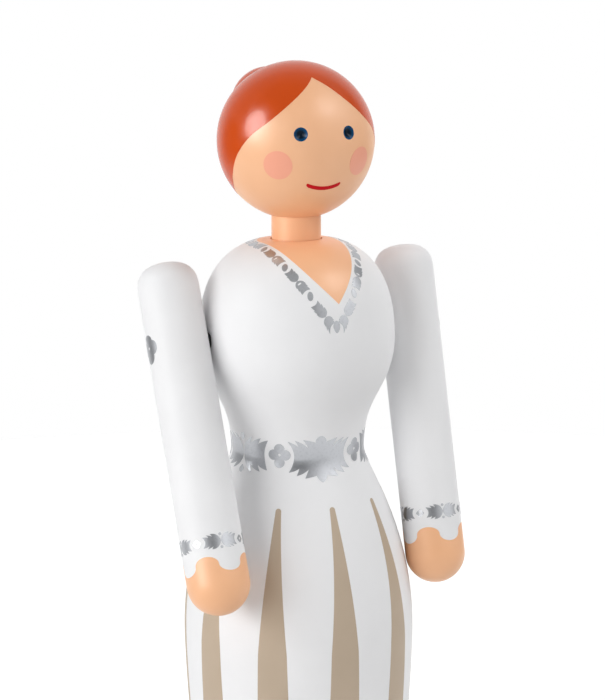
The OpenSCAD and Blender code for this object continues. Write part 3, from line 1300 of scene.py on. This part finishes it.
    def eye_cone(self, side: Side) -> Hull:
        """Paint in a drilled eye: a cone with a soft point, flush with the rim of the dimple.

        Args:
            side: Which eye.

        Returns:
            The paint.
        """
        out, east, north = self.frame(side.value * self.eye_lon, self.eye_lat)
        share = np.linspace(0.0, 1.0, num=12)
        soft = np.sqrt((share**2 + self.eye_soft) / (1.0 + self.eye_soft))
        upper = self.eye_rim + self.eye_proud - (1.0 - soft) * self.eye_depth
        under = self.eye_rim - self.eye_root - (1.0 - share) * self.eye_depth
        deep = np.concatenate([upper, under[::-1]])[:, None, None]
        wide = np.concatenate([share, share[::-1]])[:, None, None] * (self.eye + self.eye_proud)
        ring = circle() @ np.stack([east, north])
        return Hull.capped(deep * out + wide * ring + np.array([0.0, 0.0, self.z]))


# Both long sides of the fans round the cuffs
CUFF_LEAVES = ((0.02, 0.0), (1.85, 1.42), (1.5, 0.85), (2.6, 1.3), (2.2, 0.75), (3.4, 1.0))


@dataclass(frozen=True)
class Arm:
    """One turned arm with its painted hand, its lace cuff and the rosette over its pivot.

    dome_full says how much of the dome's curve stays near its direction at the top and at its foot. gem
    is half the width and height of the cuff's diamonds and the radius of their holes.
    """

    side: Side
    swing: float
    scallop_turn: float
    scallop_drop: float
    lace_turn: float
    lace_drop: float
    pivot_x: float = 24.93
    pivot_z: float = 112.8
    radius: float = 5.85
    above: float = 15.6
    below: float = 51.5
    dome: float = 5.0
    dome_full: tuple = (0.68, 0.7)
    flat: float = 19.4438
    flat_radius: float = 1.8
    columns: int = 128
    pace: float = 0.45
    scallops: int = 4
    scallop_height: float = 1.5
    scallop_steps: int = 30
    hand_rows: int = 36
    rosette_turn: float = 89.2
    rosette_drop: float = 0.5
    fan: Fan = Fan(CUFF_LEAVES, CUFF_LEAVES, 2.9, 0.7, 0.42)
    bead: float = 0.27
    bead_out: float = 1.2
    gem: tuple = (0.85, 0.75, 0.25)
    rosette: Rosette = Rosette(1.4, 1.12, 0.5, 0.26)

    @cached_property
    def outline(self) -> Outline:
        """Outline of the arm about its own axis, from the dome down to the tip of the hand.

        Returns:
            The outline.
        """
        foot = self.above - self.dome
        top = bezier((0.0, self.above), (self.dome_full[0] * self.radius, self.above),
                     (self.radius, foot + self.dome_full[1] * self.dome), (self.radius, foot))
        turn = np.radians(np.linspace(0.0, 90.0, num=60))
        hand = self.radius * np.stack([np.cos(turn), 1.0 - np.sin(turn)], 1) - np.array([0.0, self.below])
        return Outline.along([top, [top[-1], hand[0]], hand], self.pace)

    def seat(self, points: Array) -> Array:
        """Puts points of the hanging left arm where this arm is: swung forwards about X, then mirrored.

        Args:
            points: Points about the pivot, with coordinates along the last axis.

        Returns:
            Points of the same shape.
        """
        cos, sin = math.cos(math.radians(self.swing)), math.sin(math.radians(self.swing))
        x, y, z = np.moveaxis(points, -1, 0)
        return np.stack([self.side.value * (x + self.pivot_x), y * cos + z * sin,
                         self.pivot_z - y * sin + z * cos], -1)

    def place(self, turn: Array, run: Array, lift: float) -> Array:
        """Points on this arm: turn goes from the front outwards, run from the dome down."""
        return self.seat(self.outline.place(turn, run, lift))

    def spot(self, turn: float, drop: float) -> Place:
        """Flat coordinates about a place on the sleeve: u outwards from the front and v upwards.

        Args:
            turn: Angle of the place from the front.
            drop: How far it lies below the pivot.

        Returns:
            The function that puts flat points on the sleeve.
        """
        run = float(self.outline.run_at(-drop))
        return lambda u, v, lift: self.place(turn + np.degrees(u / self.radius), run - v, lift)

    def build(self) -> None:
        """Makes the arm, its hand and its foil."""
        word = self.side.word
        body = f"{word}_arm"
        make_piece(f"{word}_sleeve", self.sleeve(), DRESS, body, (f"{word}_arm", f"{word}_cap"))
        make_piece(f"{word}_hand", self.hand(), SKIN, body)
        make_piece(f"{word}_cuff_lace", self.lace(), FOIL_LEAF, body)
        flower = self.rosette.foil(self.spot(self.rosette_turn, self.rosette_drop))
        make_piece(f"{word}_rosette", flower, FOIL_LEAF, body)

    def sleeve(self) -> Hull:
        """The whole arm turned about its axis, with a flat for the washer on its inner side.

        Returns:
            The surface.
        """
        turn, run = np.meshgrid(even_turns(self.columns), self.outline.run)
        grid = self.outline.place(turn, run, 0.0)
        near = (np.hypot(grid[..., 1], grid[..., 2]) < self.flat_radius) & (grid[..., 0] < 0.0)
        grid[..., 0] = np.where(near, np.maximum(grid[..., 0], self.flat - self.pivot_x), grid[..., 0])
        grid[0], grid[-1] = grid[0, 0], grid[-1, 0]
        return Hull.capped(self.seat(grid))

    def hand(self) -> Hull:
        """Skin paint from the scalloped cuff to the tip of the hand.

        The edge is a row of half ellipses, by turns down and up: in each, the turn goes as the sine of an
        angle from -90 to 90 and the drop as its cosine.

        Returns:
            The painted hand.
        """
        angle = np.radians(np.linspace(-90.0, 90.0, self.scallop_steps, endpoint=False))
        lobe = np.arange(2 * self.scallops)[:, None]
        width = 90.0 / self.scallops
        turn = (self.scallop_turn + width * (2 * lobe + np.sin(angle))).ravel()
        drop = (self.scallop_drop + self.scallop_height * (-1.0) ** lobe * np.cos(angle)).ravel()
        tip = self.outline.run[-1]
        run = tip + np.linspace(0.0, 1.0, self.hand_rows)[:, None] * (self.outline.run_at(-drop) - tip)
        grid = layer(self.place, np.broadcast_to(turn, run.shape), run, PAINT)
        grid[0], grid[-1] = grid[0].mean(0), grid[-1].mean(0)
        return Hull.capped(grid)

    def lace(self) -> Hull:
        """Foil round the cuff: pairs of fans with a bead above and below their joint, and diamonds.

        Returns:
            The lace.
        """
        hulls = []
        for number in range(self.scallops):
            turn = self.lace_turn + number * 360.0 / self.scallops
            joint = self.spot(turn, self.lace_drop)
            hulls += [self.fan.foil(joint), self.fan.foil(joint, True)]
            hulls += [pearl(self.bead, self.bead, joint, at=(0.0, sign * self.bead_out)) for sign in (1, -1)]
            hulls.append(diamond(*self.gem, self.spot(turn + 180.0 / self.scallops, self.lace_drop)))
        return Hull.joined(hulls)


# Stage


@dataclass(frozen=True)
class Viewpoint:
    """Camera at the photograph's viewing angle. focal is in pixels of a frame of 605 by 700."""

    place: tuple = (-177.5, -363.0, 184.1)
    heading: float = -26.21
    pitch: float = 10.47
    roll: float = -0.31
    focal: float = 2125.0
    frame_height: float = 700.0
    sensor: float = 36.0
    clip: float = 10.0

    def build(self) -> None:
        """Makes the camera: its back points away from the scene, its right lies level before the roll."""
        back = toward(self.heading, self.pitch)
        h, r = math.radians(self.heading), math.radians(self.roll)
        right = Vector((math.cos(h), math.sin(h), 0.0))
        up = back.cross(right)
        axes = (math.cos(r) * right + math.sin(r) * up, math.cos(r) * up - math.sin(r) * right, back)
        lens = bpy.data.cameras.new("viewpoint")
        lens.sensor_fit = "VERTICAL"
        lens.sensor_height = self.sensor
        lens.lens = self.focal * self.sensor / self.frame_height
        lens.clip_start = self.clip * MM
        camera = put("viewpoint", lens)
        camera.matrix_world = Matrix.Translation(Vector(self.place) * MM) @ Matrix(axes).transposed().to_4x4()
        bpy.context.scene.camera = camera


def toward(azimuth: float, elevation: float) -> Vector:
    """Direction at an angle from the front, towards the figure's left, and an angle above the level."""
    a, e = math.radians(azimuth), math.radians(elevation)
    return Vector((math.sin(a) * math.cos(e), -math.cos(a) * math.cos(e), math.sin(e)))


class Rays(Enum):
    """What a lamp is for: to light the paint, or to show in its gloss."""

    MATT = "matt"
    GLOSS = "gloss"


@dataclass(frozen=True)
class Softbox:
    """Oval studio lamp that looks at the figure from an angle about it and above the level."""

    name: str
    azimuth: float
    elevation: float
    width: float
    height: float
    watts: float
    rays: Rays = Rays.MATT
    distance: float = 800.0
    target_z: float = 110.0

    def build(self) -> None:
        """Makes the lamp."""
        away = toward(self.azimuth, self.elevation)
        light = bpy.data.lights.new(self.name, "AREA")
        light.shape = "ELLIPSE"
        light.size = self.width * MM
        light.size_y = self.height * MM
        light.energy = self.watts
        lamp = put(self.name, light)
        lamp.visible_diffuse = self.rays is Rays.MATT
        lamp.visible_glossy = self.rays is Rays.GLOSS
        spot = Vector((0.0, 0.0, self.target_z)) + away * self.distance
        lamp.matrix_world = Matrix.Translation(spot * MM) @ away.to_track_quat("Z", "Y").to_matrix().to_4x4()


@dataclass(frozen=True)
class Patch:
    """Round patch of the studio's surroundings, soft at its rim.

    azimuth and elevation give the direction of its middle. It is full out to core and ends at edge, both
    angles from the middle. level is how bright it looks.
    """

    azimuth: float
    elevation: float
    core: float
    edge: float
    level: float

    def share(self, tree: Tree) -> Socket:
        """Share of the patch in the direction that a ray goes, from 0 to 1.

        Args:
            tree: Tree that takes the nodes.

        Returns:
            The share.
        """
        where = add(tree, "ShaderNodeTexCoord").outputs["Generated"]
        aim = tuple(toward(self.azimuth, self.elevation))
        near = add(tree, "ShaderNodeVectorMath", {0: where, 1: aim}, operation="DOT_PRODUCT")
        ends = [math.cos(math.radians(angle)) for angle in (self.edge, self.core)]
        return add(tree, "ShaderNodeMapRange", {"Value": near.outputs["Value"], 1: ends[0], 2: ends[1]},
                   interpolation_type="SMOOTHSTEP").outputs[0]


def ray_kinds(tree: Tree) -> tuple[Socket, Socket]:
    """Whether a ray comes from the camera, and whether it comes from gloss or through glass.

    Args:
        tree: Tree that takes the nodes.

    Returns:
        The two answers, each 0 or 1.
    """
    path = add(tree, "ShaderNodeLightPath").outputs
    gloss = add(tree, "ShaderNodeMath", {0: path["Is Glossy Ray"], 1: path["Is Transmission Ray"]},
                operation="MAXIMUM")
    return path["Is Camera Ray"], gloss.outputs[0]


@dataclass(frozen=True)
class Studio:
    """White studio: a bright backdrop behind the figure, a darker room in front of it, and a pale floor.

    room is the light that the walls throw on the figure, and walls how bright they look in its gloss. views
    are the places that look otherwise there: a bright screen, a low window, the camera's place, a side
    wall, a rear corner and the ceiling. The lamp and the screens light the paint, and the windows show in
    its gloss.
    """

    backdrop: Patch = Patch(154.0, 11.3, 44.0, 48.7, 1.0)
    room: float = 0.41
    walls: float = 0.72
    views: tuple = (
        Patch(46.0, 22.0, 18.0, 42.0, 1.25),
        Patch(-78.0, 4.0, 10.0, 22.0, 3.0),
        Patch(-23.0, 17.0, 8.0, 24.0, 0.2),
        Patch(105.0, 12.0, 20.0, 38.0, 0.3),
        Patch(-135.0, -2.0, 12.0, 24.0, 0.3),
        Patch(-68.0, 70.0, 16.0, 36.0, 0.5),
    )
    lamps: tuple = (
        Softbox("left_lamp", -95.0, 24.0, 170.0, 250.0, 1.05),
        Softbox("left_screen", -65.0, 12.0, 520.0, 420.0, 2.58),
        Softbox("right_screen", 68.0, 40.0, 650.0, 600.0, 2.8),
        Softbox("left_window", -91.0, 24.0, 460.0, 500.0, 9.8, Rays.GLOSS),
        Softbox("right_window", 38.0, 46.0, 420.0, 360.0, 1.8, Rays.GLOSS),
    )
    floor_radius: float = 420.0
    floor_colour: str = "#e6e6e6"
    floor_glow: str = "#b0b0b0"

    def build(self) -> None:
        """Makes the world, the floor and the lamps."""
        self.world()
        self.floor()
        for lamp in self.lamps:
            lamp.build()

    def world(self) -> None:
        """White to the camera. Other rays see the backdrop or the room, by their direction."""
        world = bpy.data.worlds.new("studio")
        tree = empty_tree(world)
        camera, gloss = ray_kinds(tree)
        shine = self.walls
        for view in self.views:
            shine = add(tree, "ShaderNodeMix", {0: view.share(tree), 2: shine, 3: view.level}).outputs[0]
        walls = add(tree, "ShaderNodeMix", {0: gloss, 2: self.room, 3: shine}).outputs[0]
        level = add(tree, "ShaderNodeMix", {0: self.backdrop.share(tree), 2: walls, 3: self.backdrop.level})
        seen = add(tree, "ShaderNodeMath", {0: level.outputs[0], 1: camera}, operation="MAXIMUM").outputs[0]
        light = add(tree, "ShaderNodeBackground", {"Color": linear("#ffffff"), "Strength": seen})
        add(tree, "ShaderNodeOutputWorld", {"Surface": light.outputs[0]})
        bpy.context.scene.world = world

    def floor(self) -> None:
        """Round pale floor. To the camera its lit parts are white, and the figure's shadow stays."""
        rim = np.pad(circle(count=96) * self.floor_radius * MM, ((0, 0), (0, 1)))
        mesh = bpy.data.meshes.new("floor")
        mesh.from_pydata(rim.tolist(), [], [range(len(rim))])
        paper = bpy.data.materials.new("studio_paper")
        tree = empty_tree(paper)
        camera, gloss = ray_kinds(tree)
        seen = add(tree, "ShaderNodeMath", {0: gloss, 1: camera}, operation="MAXIMUM").outputs[0]
        matt = add(tree, "ShaderNodeBsdfDiffuse", {"Color": linear(self.floor_colour)})
        glow = add(tree, "ShaderNodeEmission", {"Strength": seen, "Color": linear(self.floor_glow)})
        both = add(tree, "ShaderNodeAddShader", {0: matt.outputs[0], 1: glow.outputs[0]})
        add(tree, "ShaderNodeOutputMaterial", {"Surface": both.outputs[0]})
        mesh.materials.append(paper)
        floor = put("floor", mesh)


def dress_nodes(nodes: dict) -> None:
    """Gives each CAD node that stays in view its finish.

    Args:
        nodes: CAD nodes by name.
    """
    finishes = {"head": SKIN, "neck_dowel": SKIN, "hair_bun": HAIR, "bun_dowel": BEECH, "neck_ring": RUBBER}
    for side in Side:
        kinds = {"bush": BRASS, "screw": STEEL, "insert": BRASS, "washer": RUBBER}
        finishes.update({f"{side.word}_{kind}": finish for kind, finish in kinds.items()})
    for name, finish in finishes.items():
        slots = nodes[name].data.materials
        slots.clear()
        slots.append(finish.material())
        log.info("%s keeps its CAD shape in %s", name, finish.name)


def main() -> None:
    """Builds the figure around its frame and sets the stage."""
    logging.basicConfig(level=logging.INFO, format="%(message)s")
    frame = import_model()
    bpy.context.scene.view_settings.view_transform = "Standard"
    Viewpoint().build()
    Studio().build()
    dress_nodes(frame["nodes"])
    gown = Gown()
    right_arm = Arm(Side.RIGHT, swing=22.4816, scallop_turn=83.2, scallop_drop=42.4,
                    lace_turn=5.3, lace_drop=38.3)
    left_arm = Arm(Side.LEFT, swing=13.3816, scallop_turn=6.6, scallop_drop=41.75,
                   lace_turn=-4.5, lace_drop=37.4)
    for part in (gown, Neckline(gown), WaistLace(gown), Head(), right_arm, left_arm):
        part.build()


if __name__ == "__main__":
    main()
